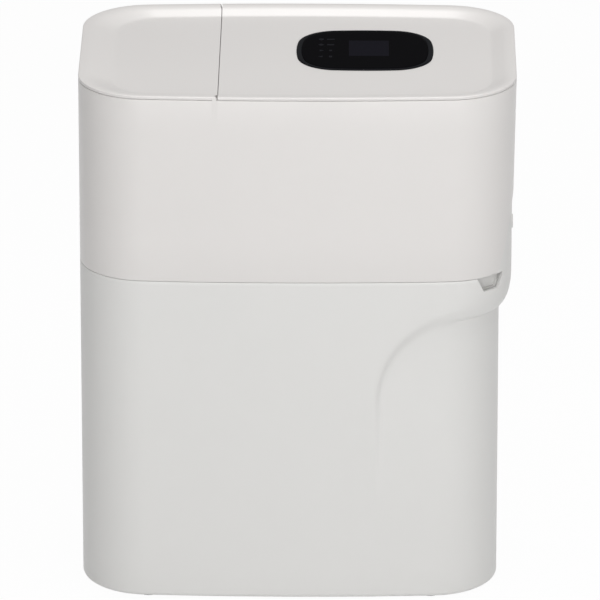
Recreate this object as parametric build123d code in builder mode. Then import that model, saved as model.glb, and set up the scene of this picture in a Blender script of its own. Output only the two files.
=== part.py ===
from build123d import *
import os
from math import cos, pi, radians, sin, sqrt

os.makedirs("parts", exist_ok=True)

# A compact cabinet water softener, in millimetres. +X runs to the plumbing end, -X to the salt lid, and -Y
# is the long side that faces the room. The origin is on the floor, under the middle of the upper shroud.

# Driving dimensions
cabinet_length = 500
cabinet_width = 330
cabinet_height = 620
long_side_bow = 10
corner_radius = 78
shell_wall = 3.5
shroud_height = 224
foot_height = 5
lid_split_x = -90
split_gap = 0.8
dish_depth = 8
end_draft = 4
end_setback = 18

# Clearances
seat_gap = 0.3
running_gap = 0.06
fit_gap = 0.03
overrun = 1

half_length = cabinet_length / 2
half_width = cabinet_width / 2
seam_end_x = half_length - end_draft
lower_end_x = half_length - end_setback
seam_height = cabinet_height - shroud_height


# Shared shapes
def plan(height, low_x, high_x, reach_y, bow=long_side_bow, radius=corner_radius, middle_y=0, end_bow=0):
    """The plan outline at a height: bowed long sides, near straight ends and round corners."""
    middle_x = (low_x + high_x) / 2
    corner_y = reach_y - bow
    left, right = low_x + end_bow, high_x - end_bow
    front_left = (left, middle_y - corner_y)
    front_right = (right, middle_y - corner_y)
    back_right = (right, middle_y + corner_y)
    back_left = (left, middle_y + corner_y)
    with BuildSketch(Plane.XY.offset(height)) as outline:
        with BuildLine():
            ThreePointArc(front_left, (middle_x, middle_y - reach_y), front_right)
            if end_bow:
                ThreePointArc(front_right, (high_x, middle_y), back_right)
            else:
                Line(front_right, back_right)
            ThreePointArc(back_right, (middle_x, middle_y + reach_y), back_left)
            if end_bow:
                ThreePointArc(back_left, (low_x, middle_y), front_left)
            else:
                Line(back_left, front_left)
        make_face()
        fillet(outline.vertices(), radius)
    return outline.sketch


def shrunk_plan(height, shrink, high_x=half_length):
    """The cabinet's plan outline drawn in by the same amount on every side."""
    radius = corner_radius - shrink
    return plan(height, shrink - half_length, high_x - shrink, half_width - shrink, radius=radius)


def bar_z(x, y, low, high, radius, mode=Mode.ADD):
    """A round bar that stands upright between two heights."""
    with Locations((x, y, low)):
        Cylinder(radius, high - low, align=(Align.CENTER, Align.CENTER, Align.MIN), mode=mode)


def bar_x(low, high, y, z, radius, mode=Mode.ADD):
    """A round bar along the cabinet's length."""
    with Locations((low, y, z)):
        align = (Align.CENTER, Align.CENTER, Align.MIN)
        Cylinder(radius, high - low, rotation=(0, 90, 0), align=align, mode=mode)


def bar_y(low, high, x, z, radius, mode=Mode.ADD):
    """A round bar across the cabinet."""
    with Locations((x, low, z)):
        align = (Align.CENTER, Align.CENTER, Align.MIN)
        Cylinder(radius, high - low, rotation=(-90, 0, 0), align=align, mode=mode)


def block(low, high, mode=Mode.ADD):
    """A rectangular block between two opposite corners."""
    with Locations(low):
        size = [b - a for a, b in zip(low, high)]
        Box(*size, align=(Align.MIN, Align.MIN, Align.MIN), mode=mode)


def finish(built, name):
    """Labels a finished piece and writes it to its own file."""
    built.part.label = name
    export_step(built.part, "parts/" + name + ".step")


# Lower cabinet: the outer form, with the sweep that sets the plumbing end in
fold_drop = 44
fold_radius = 104
fold_x = 104
fold_depth = 5
fold_fade = 3
floor_thickness = 4
fold_height = seam_height - fold_drop


def tub(shrink, low, high):
    """The lower cabinet's form between two heights, drawn in by the same amount on every side."""
    sweep_x = fold_x - shrink
    sweep_z = fold_height + shrink
    past_x = half_length + overrun
    below_z = -overrun
    with BuildPart() as recess:
        with BuildSketch(Plane.XZ):
            with BuildLine():
                Line((past_x, sweep_z), (sweep_x + fold_radius, sweep_z))
                RadiusArc((sweep_x + fold_radius, sweep_z), (sweep_x, sweep_z - fold_radius), -fold_radius)
                Line((sweep_x, sweep_z - fold_radius), (sweep_x, below_z))
                Line((sweep_x, below_z), (past_x, below_z))
                Line((past_x, below_z), (past_x, sweep_z))
            make_face()
        extrude(amount=half_width + overrun, both=True)
        lowest = plan(
            below_z - overrun,
            -half_length - fold_fade,
            lower_end_x - shrink,
            half_width + fold_fade - shrink,
            radius=corner_radius - shrink,
        )
        highest = plan(
            sweep_z + overrun,
            -half_length + fold_depth,
            lower_end_x - shrink,
            half_width - fold_depth - shrink,
            radius=corner_radius - shrink,
        )
        loft(sections=[lowest, highest], ruled=True, mode=Mode.SUBTRACT)
    with BuildPart() as form:
        extrude(shrunk_plan(low, shrink, seam_end_x), amount=high - low)
        add(recess.part, mode=Mode.SUBTRACT)
    return form.part


# End panel, which rises behind the shroud, and its window for the pipes
arch_half_width = 132
arch_top_half_width = 92
arch_rise = 90
arch_corner = 34
window_low_y = -58
window_high_y = 84
window_rise = 12
window_height = 58
window_corner = 12
panel_wall = 3
arch_top = seam_height + arch_rise
window_low_z = seam_height + window_rise
window_high_z = window_low_z + window_height


def arch(grow, low_x, high_x):
    """The end panel's arched outline, as a prism along X, grown by a gap."""
    with BuildPart() as prism:
        with BuildSketch(Plane.YZ.offset(low_x)) as outline:
            with BuildLine():
                Polyline(
                    (-arch_half_width - grow, seam_height - overrun),
                    (-arch_top_half_width - grow, arch_top + grow),
                    (arch_top_half_width + grow, arch_top + grow),
                    (arch_half_width + grow, seam_height - overrun),
                    close=True,
                )
            make_face()
            fillet(outline.vertices().group_by(Axis.Y)[-1], arch_corner)
        extrude(amount=high_x - low_x)
    return prism.part


# Lower cabinet: tongue that locates the shroud, finger notches, bosses for the feet
tongue_wall = 2.5
tongue_height = 7
tongue_root = 10
notch_length = 32
notch_depth = 9
notch_height = 10
notch_turn = 53
notch_wall = 3
foot_inset = 35
foot_radius = 16
foot_stem_radius = 5
foot_stem_height = 3
foot_middle_x = (lower_end_x - half_length) / 2
foot_reach_x = (lower_end_x + half_length) / 2 - corner_radius
foot_reach_y = half_width - foot_inset
foot_places = [
    (foot_middle_x + side_x * foot_reach_x, side_y * foot_reach_y)
    for side_x in (-1, 1)
    for side_y in (-1, 1)
]
tongue_out = shell_wall + seat_gap
arch_low_x = half_length - corner_radius
overflow_inset = 27
overflow_below_seam = 96
overflow_radius = 6.5
socket_y = -69
socket_rise = 41
socket_radius = 6
overflow_x = lower_end_x - overflow_inset
overflow_z = seam_height - overflow_below_seam
socket_z = seam_height + socket_rise
tub_floor = foot_height + floor_thickness

with BuildPart() as end_panel:
    extrude(shrunk_plan(seam_height, 0, seam_end_x), amount=arch_rise)
    extrude(shrunk_plan(seam_height, panel_wall, seam_end_x), amount=arch_rise, mode=Mode.SUBTRACT)
    add(arch(0, arch_low_x, half_length), mode=Mode.INTERSECT)
    with BuildSketch(Plane.YZ.offset(lower_end_x)) as window:
        with Locations(((window_low_y + window_high_y) / 2, (window_low_z + window_high_z) / 2)):
            Rectangle(window_high_y - window_low_y, window_high_z - window_low_z)
        fillet(window.vertices(), window_corner)
    extrude(amount=half_length - lower_end_x, mode=Mode.SUBTRACT)
    bar_x(lower_end_x, half_length, socket_y, socket_z, socket_radius + fit_gap, Mode.SUBTRACT)

with BuildPart() as tongue:
    extrude(shrunk_plan(seam_height - tongue_root, shell_wall, seam_end_x), amount=tongue_root)
    extrude(shrunk_plan(seam_height, tongue_out, seam_end_x), amount=tongue_height)
    inner = shrunk_plan(seam_height - tongue_root, tongue_out + tongue_wall, seam_end_x)
    extrude(inner, amount=tongue_root + tongue_height, mode=Mode.SUBTRACT)

corner_x = seam_end_x - corner_radius
corner_y = half_width - long_side_bow - corner_radius
with BuildPart() as cabinet:
    add(tub(0, foot_height, seam_height))
    add(tub(shell_wall, tub_floor, seam_height + overrun), mode=Mode.SUBTRACT)
    add(tongue.part)
    add(end_panel.part)
    for side in (-1, 1):
        with Locations(Location((corner_x, side * corner_y, seam_height), (0, 0, side * notch_turn))):
            align = (Align.MIN, Align.CENTER, Align.MAX)
            with Locations((corner_radius - notch_depth - notch_wall, 0, 0)):
                backing = notch_depth + notch_wall - shell_wall / 2
                Box(backing, notch_length + 2 * notch_wall, notch_height + notch_wall, align=align)
            with Locations((corner_radius - notch_depth, 0, -notch_height)):
                align = (Align.MIN, Align.CENTER, Align.MIN)
                Box(corner_radius, notch_length, notch_height + overrun, align=align, mode=Mode.SUBTRACT)
    for place_x, place_y in foot_places:
        stem_top = foot_height + foot_stem_height
        bar_z(place_x, place_y, foot_height, stem_top, foot_stem_radius + fit_gap, Mode.SUBTRACT)
    bar_y(0, half_width + overrun, overflow_x, overflow_z, overflow_radius + fit_gap, Mode.SUBTRACT)
finish(cabinet, "cabinet")

# Feet: round glides whose stems press into the cabinet's floor
foot_rim = 1.2
with BuildPart() as feet:
    for place_x, place_y in foot_places:
        bar_z(place_x, place_y, 0, foot_height, foot_radius)
        bar_z(place_x, place_y, foot_height, foot_height + foot_stem_height - seat_gap, foot_stem_radius)
    chamfer(feet.edges().group_by(Axis.Z)[0], foot_rim)
finish(feet, "feet")

# Upper shroud: tapered at the plumbing end, open to the end panel, with a deck that leaves the two mouths
rim_drop = 4
deck_drop = 18
deck_thickness = 3
bridge_half_width = 15
mouth_margin = 18
mouth_reach_y = 138
mouth_corner = 24
rim_seat = cabinet_height - rim_drop
deck_height = rim_seat - deck_drop
hinge_drop = 3.2
hinge_x = lid_split_x - split_gap / 2 - hinge_drop
hinge_z = cabinet_height - hinge_drop
hinge_swing = hinge_drop + seat_gap
eye_radius = 2.2
eye_gap = 0.4
pin_radius = 1
lug_thickness = 3
lug_root = 14
lug_bite = 1
bow_radius = (half_length**2 + long_side_bow**2) / (2 * long_side_bow)
hinge_side_y = half_width - bow_radius + sqrt(bow_radius**2 - hinge_x**2)
lug_out = hinge_side_y - shell_wall + lug_bite
lug_low = lug_out - lug_thickness


def mouth(low_x, high_x):
    """A round-cornered opening in the shroud's deck."""
    with BuildSketch(Plane.XY.offset(deck_height)) as hole:
        with Locations(((low_x + high_x) / 2, 0)):
            Rectangle(high_x - low_x, 2 * mouth_reach_y)
        fillet(hole.vertices(), mouth_corner)
    return hole.sketch


with BuildPart() as upper_shroud:
    loft(sections=[shrunk_plan(seam_height + seat_gap, 0, seam_end_x), shrunk_plan(rim_seat, 0)], ruled=True)
    loft(
        sections=[
            shrunk_plan(seam_height, shell_wall, seam_end_x),
            shrunk_plan(rim_seat + overrun, shell_wall, half_length),
        ],
        ruled=True,
        mode=Mode.SUBTRACT,
    )
    extrude(shrunk_plan(deck_height, shell_wall - seat_gap), amount=deck_thickness)
    salt_mouth = mouth(mouth_margin - half_length, lid_split_x - bridge_half_width)
    service_mouth = mouth(lid_split_x + bridge_half_width, half_length - mouth_margin)
    extrude(salt_mouth, amount=deck_thickness + overrun, mode=Mode.SUBTRACT)
    extrude(service_mouth, amount=deck_thickness + overrun, mode=Mode.SUBTRACT)
    add(arch(seat_gap, arch_low_x, half_length + overrun), mode=Mode.SUBTRACT)
    for side in (-1, 1):
        near, far = sorted((side * (half_width - 2 * shell_wall), side * (half_width + overrun)))
        bar_y(near, far, hinge_x, hinge_z, hinge_swing, Mode.SUBTRACT)
        near, far = sorted((side * lug_low, side * lug_out))
        block((hinge_x - eye_radius, near, hinge_z - lug_root), (hinge_x - eye_gap, far, hinge_z))
        bar_y(near, far, hinge_x, hinge_z, eye_radius)
        bar_y(near, far, hinge_x, hinge_z, pin_radius + fit_gap, Mode.SUBTRACT)
finish(upper_shroud, "upper_shroud")

# Dished top: one form that is split into the salt lid and the control cover
rim_land = 5
front_slope = 22
lid_end_slope = 36
panel_end_slope = 25
floor_corner = 52
sheet = 3
floor_z = cabinet_height - dish_depth
band_low = rim_seat + seat_gap


def dish_floor(height, grow):
    """The outline of the dish's flat floor, grown by a wall."""
    low_x = rim_land + lid_end_slope - half_length - grow
    high_x = half_length - rim_land - panel_end_slope + grow
    reach_y = half_width - rim_land - front_slope + grow
    return plan(height, low_x, high_x, reach_y, radius=floor_corner + grow)


with BuildPart() as dished_top:
    extrude(shrunk_plan(band_low, 0), amount=cabinet_height - band_low)
    loft(
        sections=[dish_floor(floor_z - sheet, sheet), shrunk_plan(band_low, shell_wall + seat_gap)],
        ruled=True,
    )
    loft(
        sections=[dish_floor(floor_z, 0), shrunk_plan(cabinet_height, rim_land)],
        ruled=True,
        mode=Mode.SUBTRACT,
    )

# Salt lid: hinged at the split, with knuckles each side of the shroud's lugs
knuckle_radius = 2.5
knuckle_length = 3.5
pin_cover = 1
lug_gap = 0.35
notch_near = lug_low - lug_gap
notch_far = lug_out + lug_gap
knuckle_near = notch_near - knuckle_length
pin_far = hinge_side_y - pin_cover

with BuildPart() as salt_lid:
    add(dished_top.part)
    split(bisect_by=Plane.YZ.offset(lid_split_x - split_gap / 2), keep=Keep.BOTTOM)
    block(
        (hinge_x, -half_width, hinge_z),
        (lid_split_x, half_width, cabinet_height + overrun),
        Mode.SUBTRACT,
    )
    bar_y(-half_width, half_width, hinge_x, hinge_z, hinge_drop)
    add(dished_top.part, mode=Mode.INTERSECT)
    for side in (-1, 1):
        near, far = sorted((side * knuckle_near, side * hinge_side_y))
        bar_y(near, far, hinge_x, hinge_z, knuckle_radius)
        near, far = sorted((side * notch_near, side * notch_far))
        block(
            (hinge_x - eye_radius - eye_gap, near, band_low - lug_root),
            (lid_split_x, far, hinge_z),
            Mode.SUBTRACT,
        )
        bar_y(near, far, hinge_x, hinge_z, eye_radius + eye_gap, Mode.SUBTRACT)
        near, far = sorted((side * (knuckle_near - overrun), side * (pin_far + seat_gap)))
        bar_y(near, far, hinge_x, hinge_z, pin_radius + running_gap, Mode.SUBTRACT)
finish(salt_lid, "salt_lid")

with BuildPart() as hinge_pins:
    for side in (-1, 1):
        near, far = sorted((side * knuckle_near, side * pin_far))
        bar_y(near, far, hinge_x, hinge_z, pin_radius)
finish(hinge_pins, "hinge_pins")

# Control cover: the rest of the dished top, with the panel's round-ended opening
panel_x = 77
panel_y = 20
panel_length = 158
panel_width = 138
panel_side_bow = 5
panel_end_bow = 9
panel_corner = 46
panel_lip = 4
bezel_proud = 1.5
bezel_depth = 7
glass_inset_x = 6
glass_inset_y = 3
glass_thickness = 1.2


def panel_outline(height, inset_x, inset_y):
    """The control panel's outline, a bowed rectangle with large corners."""
    half = panel_length / 2 - inset_x
    return plan(
        height,
        panel_x - half,
        panel_x + half,
        panel_width / 2 - inset_y,
        bow=panel_side_bow,
        radius=panel_corner - inset_x,
        middle_y=panel_y,
        end_bow=panel_end_bow,
    )


with BuildPart() as control_cover:
    add(dished_top.part)
    split(bisect_by=Plane.YZ.offset(lid_split_x + split_gap / 2), keep=Keep.TOP)
    opening = panel_outline(floor_z - sheet - overrun, panel_lip, panel_lip)
    extrude(opening, amount=sheet + overrun, mode=Mode.SUBTRACT)
finish(control_cover, "control_cover")

# Panel bezel: a dark frame that drops into the cover's opening and rests on its edge
bezel_top = floor_z + bezel_proud
bezel_low = bezel_top - bezel_depth
bezel_wall = 4
glass_low = bezel_top - glass_thickness
with BuildPart() as panel_bezel:
    extrude(panel_outline(floor_z, 0, 0), amount=bezel_proud)
    plug = panel_lip + seat_gap
    extrude(panel_outline(bezel_low, plug, plug), amount=bezel_depth)
    hollow = plug + bezel_wall
    extrude(panel_outline(bezel_low, hollow, hollow), amount=bezel_depth, mode=Mode.SUBTRACT)
    rebate = panel_outline(glass_low, glass_inset_x, glass_inset_y)
    extrude(rebate, amount=glass_thickness, mode=Mode.SUBTRACT)
finish(panel_bezel, "panel_bezel")

with BuildPart() as panel_glass:
    pane = panel_outline(glass_low, glass_inset_x + fit_gap, glass_inset_y + fit_gap)
    extrude(pane, amount=glass_thickness)
finish(panel_glass, "panel_glass")

# Display module, under the glass
display_x = 81
display_y = 25
display_length = 45
display_width = 54
display_depth = 6
with BuildPart() as display_module:
    half_x, half_y = display_length / 2, display_width / 2
    block(
        (display_x - half_x, display_y - half_y, glass_low - display_depth),
        (display_x + half_x, display_y + half_y, glass_low),
    )
    fillet(display_module.edges().filter_by(Axis.Z), seat_gap)
finish(display_module, "display_module")

# Touch board: a circuit board under the display, on the display's back
board_thickness = 1.6
board_inset = 22
chip_size = 9
chip_height = 2
board_top = glass_low - display_depth
with BuildPart() as touch_board:
    extrude(panel_outline(board_top - board_thickness, board_inset, board_inset), amount=board_thickness)
    chip_low = board_top - board_thickness - chip_height
    for offset_x in (-2 * chip_size, chip_size):
        for offset_y in (-2 * chip_size, 0, 2 * chip_size):
            corner = (panel_x + offset_x, panel_y + offset_y, chip_low)
            block(corner, (corner[0] + chip_size, corner[1] + chip_size, board_top - board_thickness))
finish(touch_board, "touch_board")

# Resin tank: a pressure vessel with domed ends and a neck
tank_x = 115
tank_radius = 101
tank_wall = 3
tank_low = tub_floor + 7
tank_dome = 48
tank_drop = 10
neck_radius = 36
neck_wall = 5
neck_rise = 16
tank_top = seam_height - tank_drop
neck_top = tank_top + neck_rise
tank_axis = Axis((tank_x, 0, 0), (0, 0, 1))


def vessel(shrink):
    """The tank's form with its domed ends, drawn in by a wall."""
    radius, dome = tank_radius - shrink, tank_dome - shrink
    low, top = tank_low + shrink, tank_top - shrink
    with BuildPart() as form:
        with BuildSketch(Plane((tank_x, 0, 0), x_dir=(1, 0, 0), z_dir=(0, -1, 0))):
            with BuildLine():
                EllipticalCenterArc((0, low + dome), radius, dome, start_angle=-90, arc_size=90)
                Line((radius, low + dome), (radius, top - dome))
                EllipticalCenterArc((0, top - dome), radius, dome, start_angle=0, arc_size=90)
                Line((0, top), (0, low))
            make_face()
        revolve(axis=tank_axis)
    return form.part


def dome_height(radius):
    """The height of the lower dome's underside at a distance from the tank's axis."""
    return tank_low + tank_dome * (1 - sqrt(1 - (radius / tank_radius) ** 2))


with BuildPart() as resin_tank:
    add(vessel(0))
    bar_z(tank_x, 0, tank_top - tank_dome, neck_top, neck_radius)
    add(vessel(tank_wall), mode=Mode.SUBTRACT)
    bar_z(tank_x, 0, tank_top - tank_dome, neck_top + overrun, neck_radius - neck_wall, Mode.SUBTRACT)
finish(resin_tank, "resin_tank")

# Boot ring: carries the lower dome, with drain arches round its foot
boot_radius = 84
boot_wall = 10
boot_arches = 6
arch_width = 30
arch_height = 9
boot_inner = boot_radius - boot_wall
with BuildPart() as tank_boot:
    boot_top = dome_height(boot_inner) - seat_gap
    bar_z(tank_x, 0, tub_floor, boot_top, boot_radius)
    bar_z(tank_x, 0, tub_floor - overrun, boot_top + overrun, boot_inner, Mode.SUBTRACT)
    for index in range(boot_arches):
        turn = 360 * index / boot_arches
        with Locations(Location((tank_x, 0, tub_floor - overrun), (0, 0, turn))):
            with Locations((boot_inner - overrun, 0, 0)):
                align = (Align.MIN, Align.CENTER, Align.MIN)
                Box(boot_wall + 2 * overrun, arch_width, arch_height, align=align, mode=Mode.SUBTRACT)
finish(tank_boot, "tank_boot")

# Riser tube, with a slotted distributor at each end of it
riser_radius = 13
riser_bore = 11
basket_radius = 24
basket_height = 46
basket_slots = 10
slot_width = 3
slot_margin = 6
upper_basket_depth = 50
upper_basket_radius = 28
upper_basket_low = neck_top - upper_basket_depth
inner_radius = tank_radius - tank_wall
inner_dome = tank_dome - tank_wall
basket_rise = inner_dome * (1 - sqrt(1 - (basket_radius / inner_radius) ** 2))
basket_low = tank_low + tank_wall + basket_rise + seat_gap
riser_low = basket_low + basket_height - slot_margin
riser_top = neck_top + 22


def slots(low, high, radius):
    """Upright slots round a basket, cut through its wall."""
    for index in range(basket_slots):
        turn = 360 * index / basket_slots
        with Locations(Location((tank_x, 0, low), (0, 0, turn))):
            with Locations((riser_radius + overrun, 0, 0)):
                align = (Align.MIN, Align.CENTER, Align.MIN)
                Box(radius, slot_width, high - low, align=align, mode=Mode.SUBTRACT)


with BuildPart() as riser_tube:
    bar_z(tank_x, 0, riser_low, riser_top, riser_radius)
    bar_z(tank_x, 0, riser_low - overrun, riser_top + overrun, riser_bore, Mode.SUBTRACT)
finish(riser_tube, "riser_tube")

with BuildPart() as lower_distributor:
    basket_top = basket_low + basket_height
    bar_z(tank_x, 0, basket_low, basket_top, basket_radius)
    bar_z(tank_x, 0, riser_low, basket_top + overrun, riser_radius + fit_gap, Mode.SUBTRACT)
    slots(basket_low + slot_margin, riser_low - slot_margin, basket_radius)
finish(lower_distributor, "lower_distributor")

with BuildPart() as upper_distributor:
    bar_z(tank_x, 0, upper_basket_low, neck_top, upper_basket_radius)
    bar_z(tank_x, 0, upper_basket_low - overrun, neck_top + overrun, riser_radius + fit_gap, Mode.SUBTRACT)
    slots(upper_basket_low + slot_margin, tank_top - slot_margin, upper_basket_radius)
finish(upper_distributor, "upper_distributor")

# Resin bed: fills the lower part of the tank round the riser
resin_drop = 136
resin_top = tank_top - resin_drop
with BuildPart() as resin_bed:
    add(vessel(tank_wall + seat_gap))
    split(bisect_by=Plane.XY.offset(resin_top), keep=Keep.BOTTOM)
    basket_clear = basket_low + basket_height + seat_gap
    bar_z(tank_x, 0, tank_low, basket_clear, basket_radius + seat_gap, Mode.SUBTRACT)
    bar_z(tank_x, 0, tank_low, resin_top + overrun, riser_radius + seat_gap, Mode.SUBTRACT)
finish(resin_bed, "resin_bed")

# Valve body: a column on the tank's neck, with two port bosses, three small bosses and the disc's chamber
flange_radius = 46
flange_height = 12
column_radius = 30
column_height = 76
port_reach_y = 30
port_rise = 35
port_boss_radius = 17
port_boss_end = tank_x + 60
connector_radius = 13.2
connector_bore = 9.5
connector_insert = 22
chamber_radius = 24
chamber_depth = 12
drain_boss_x = tank_x - 14
drain_boss_radius = 10
drain_boss_end = 50
injector_x = tank_x - 8
injector_rise = 54
injector_boss_radius = 11
injector_boss_end = 50
injector_bore = 7
injector_depth = 26
brine_boss_radius = 9
brine_boss_x = tank_x - 44
brine_rise = 22
hose_radius = 4.75
hose_insert = 14
spigot_radius = 6.5
spigot_bore = 4
spigot_insert = 12
column_top = neck_top + column_height
port_z = neck_top + port_rise
injector_z = neck_top + injector_rise
brine_z = neck_top + brine_rise
chamber_floor = column_top - chamber_depth
with BuildPart() as valve_body:
    bar_z(tank_x, 0, neck_top, neck_top + flange_height, flange_radius)
    bar_z(tank_x, 0, neck_top, column_top, column_radius)
    for side in (-1, 1):
        bar_x(tank_x, port_boss_end, side * port_reach_y, port_z, port_boss_radius)
    bar_y(0, drain_boss_end, drain_boss_x, port_z, drain_boss_radius)
    bar_y(-injector_boss_end, 0, injector_x, injector_z, injector_boss_radius)
    bar_x(brine_boss_x, tank_x, 0, brine_z, brine_boss_radius)
    fillet(valve_body.edges().filter_by(GeomType.CIRCLE).sort_by(Axis.Z)[-1], overrun)
    bar_z(tank_x, 0, chamber_floor, column_top + overrun, chamber_radius, Mode.SUBTRACT)
    bar_z(tank_x, 0, neck_top - overrun, riser_top + seat_gap, riser_radius + fit_gap, Mode.SUBTRACT)
    for side in (-1, 1):
        insert_x = port_boss_end - connector_insert
        socket_x = port_boss_end + overrun
        bar_x(insert_x, socket_x, side * port_reach_y, port_z, connector_radius + fit_gap, Mode.SUBTRACT)
        bar_x(tank_x, port_boss_end, side * port_reach_y, port_z, connector_bore, Mode.SUBTRACT)
    insert_y = drain_boss_end - spigot_insert
    bar_y(insert_y, drain_boss_end + overrun, drain_boss_x, port_z, spigot_radius + fit_gap, Mode.SUBTRACT)
    nozzle_y = injector_depth - injector_boss_end
    nozzle_end_y = -injector_boss_end - overrun
    bar_y(nozzle_end_y, nozzle_y, injector_x, injector_z, injector_bore + fit_gap, Mode.SUBTRACT)
    hose_stop = brine_boss_x + hose_insert
    bar_x(brine_boss_x - overrun, hose_stop, 0, brine_z, hose_radius + fit_gap, Mode.SUBTRACT)
finish(valve_body, "valve_body")

# Clamp ring: a split band round the valve's flange, with its two bolted ears
clamp_wall = 5
clamp_height = 9
clamp_slit = 3
ear_reach = 14
ear_half_width = 8
clamp_low = neck_top + (flange_height - clamp_height) / 2
clamp_inner = flange_radius + seat_gap
clamp_outer = clamp_inner + clamp_wall
with BuildPart() as clamp_ring:
    bar_z(tank_x, 0, clamp_low, clamp_low + clamp_height, clamp_outer)
    block(
        (tank_x - clamp_outer - ear_reach, -ear_half_width, clamp_low),
        (tank_x - clamp_inner, ear_half_width, clamp_low + clamp_height),
    )
    bar_z(tank_x, 0, clamp_low - overrun, clamp_low + clamp_height + overrun, clamp_inner, Mode.SUBTRACT)
    block(
        (tank_x - clamp_outer - ear_reach - overrun, -clamp_slit / 2, clamp_low - overrun),
        (tank_x - column_radius, clamp_slit / 2, clamp_low + clamp_height + overrun),
        Mode.SUBTRACT,
    )
finish(clamp_ring, "clamp_ring")

# Mechanism plate: carries the motor and steadies the shaft
plate_thickness = 4
plate_low_x = tank_x - 72
plate_high_x = tank_x + 44
plate_half_width = 42
plate_corner = 12
screw_margin = 9
screw_radius = 1.6
screw_head_radius = 3.4
screw_head_height = 2.2
shaft_radius = 6
plate_top = column_top + plate_thickness
screw_places = [
    (place_x, side * (plate_half_width - screw_margin))
    for place_x in (plate_low_x + screw_margin, plate_high_x - screw_margin)
    for side in (-1, 1)
]

# Gear pair: tooth forms from the tooth counts and the module
gear_teeth = 40
pinion_teeth = 10
gear_module = 1.8
gear_backlash = 0.3
addendum_share = 0.75
dedendum_share = 1.05
tip_share = 0.20
root_share = 0.55
gear_height = 8
gear_pitch = gear_teeth * gear_module / 2
pinion_pitch = pinion_teeth * gear_module / 2
motor_x = tank_x - gear_pitch - pinion_pitch - gear_backlash
pinion_shaft_radius = 2.5
motor_radius = 14.5
motor_height = 26
motor_shaft_depth = 8
gear_rise = 1.5
gear_low = plate_top + gear_rise


def gear(middle_x, teeth, pitch_radius, first_turn):
    """A toothed wheel: its disc at the root circle, with a tapered tooth at each step."""
    root = pitch_radius - dedendum_share * gear_module
    tip = pitch_radius + addendum_share * gear_module
    step = 2 * pi / teeth
    with BuildSketch(Plane.XY.offset(gear_low)) as outline:
        with Locations((middle_x, 0)):
            Circle(root)
        for index in range(teeth):
            turn = radians(first_turn) + index * step
            corners = []
            for share, radius in (
                (-root_share, root - gear_backlash),
                (-tip_share, tip),
                (tip_share, tip),
                (root_share, root - gear_backlash),
            ):
                angle = turn + share * step / 2
                corners.append((middle_x + radius * cos(angle), radius * sin(angle)))
            with BuildLine():
                Polyline(*corners, close=True)
            make_face()
    return outline.sketch


with BuildPart() as mechanism_plate:
    with BuildSketch(Plane.XY.offset(column_top)) as outline:
        with Locations(((plate_low_x + plate_high_x) / 2, 0)):
            Rectangle(plate_high_x - plate_low_x, 2 * plate_half_width)
        fillet(outline.vertices(), plate_corner)
    extrude(amount=plate_thickness)
    below, above = column_top - overrun, plate_top + overrun
    bar_z(tank_x, 0, below, above, shaft_radius + running_gap, Mode.SUBTRACT)
    bar_z(motor_x, 0, below, above, pinion_shaft_radius + seat_gap, Mode.SUBTRACT)
    for place_x, place_y in screw_places:
        bar_z(place_x, place_y, below, above, screw_radius + fit_gap, Mode.SUBTRACT)
finish(mechanism_plate, "mechanism_plate")

with BuildPart() as mechanism_screws:
    for place_x, place_y in screw_places:
        bar_z(place_x, place_y, column_top, plate_top, screw_radius)
        bar_z(place_x, place_y, plate_top, plate_top + screw_head_height, screw_head_radius)
finish(mechanism_screws, "mechanism_screws")

# Valve rotor: the port disc in its chamber, with the shaft through the plate
disc_port_reach = 14
disc_port_radius = 4.5
with BuildPart() as valve_rotor:
    disc_low = chamber_floor + seat_gap
    disc_top = column_top - seat_gap
    bar_z(tank_x, 0, disc_low, disc_top, chamber_radius - running_gap)
    for side in (-1, 1):
        port_x = tank_x + side * disc_port_reach
        bar_z(port_x, 0, disc_low - overrun, disc_top + overrun, disc_port_radius, Mode.SUBTRACT)
    bar_z(tank_x, 0, disc_low, gear_low + gear_height, shaft_radius)
finish(valve_rotor, "valve_rotor")

gear_web_depth = 3
gear_hub_radius = 11
gear_rim_width = 6
with BuildPart() as drive_gear:
    extrude(gear(tank_x, gear_teeth, gear_pitch, 0), amount=gear_height)
    web_radius = gear_pitch - gear_rim_width
    gear_top = gear_low + gear_height
    bar_z(tank_x, 0, gear_top - gear_web_depth, gear_top + overrun, web_radius, Mode.SUBTRACT)
    bar_z(tank_x, 0, gear_low, gear_top, gear_hub_radius)
    bar_z(tank_x, 0, gear_low - overrun, gear_top + overrun, shaft_radius + fit_gap, Mode.SUBTRACT)
finish(drive_gear, "drive_gear")

with BuildPart() as motor_pinion:
    extrude(gear(motor_x, pinion_teeth, pinion_pitch, 180 / pinion_teeth), amount=gear_height)
    bar_z(motor_x, 0, column_top - motor_shaft_depth + seat_gap, gear_low + gear_height, pinion_shaft_radius)
finish(motor_pinion, "motor_pinion")

motor_ear_reach = 21
motor_ear_radius = 4.5
motor_ear_height = 3
connector_block = 8
with BuildPart() as drive_motor:
    bar_z(motor_x, 0, column_top - motor_height, column_top, motor_radius)
    for side in (-1, 1):
        bar_z(motor_x, side * motor_ear_reach, column_top - motor_ear_height, column_top, motor_ear_radius)
    block(
        (motor_x - motor_ear_radius, -motor_ear_reach, column_top - motor_ear_height),
        (motor_x + motor_ear_radius, motor_ear_reach, column_top),
    )
    block(
        (motor_x - motor_radius - connector_block / 2, -connector_block, column_top - motor_height),
        (motor_x, connector_block, column_top - motor_height + connector_block),
    )
    shaft_hole = pinion_shaft_radius + running_gap
    bar_z(motor_x, 0, column_top - motor_shaft_depth, column_top + overrun, shaft_hole, Mode.SUBTRACT)
finish(drive_motor, "drive_motor")

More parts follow.
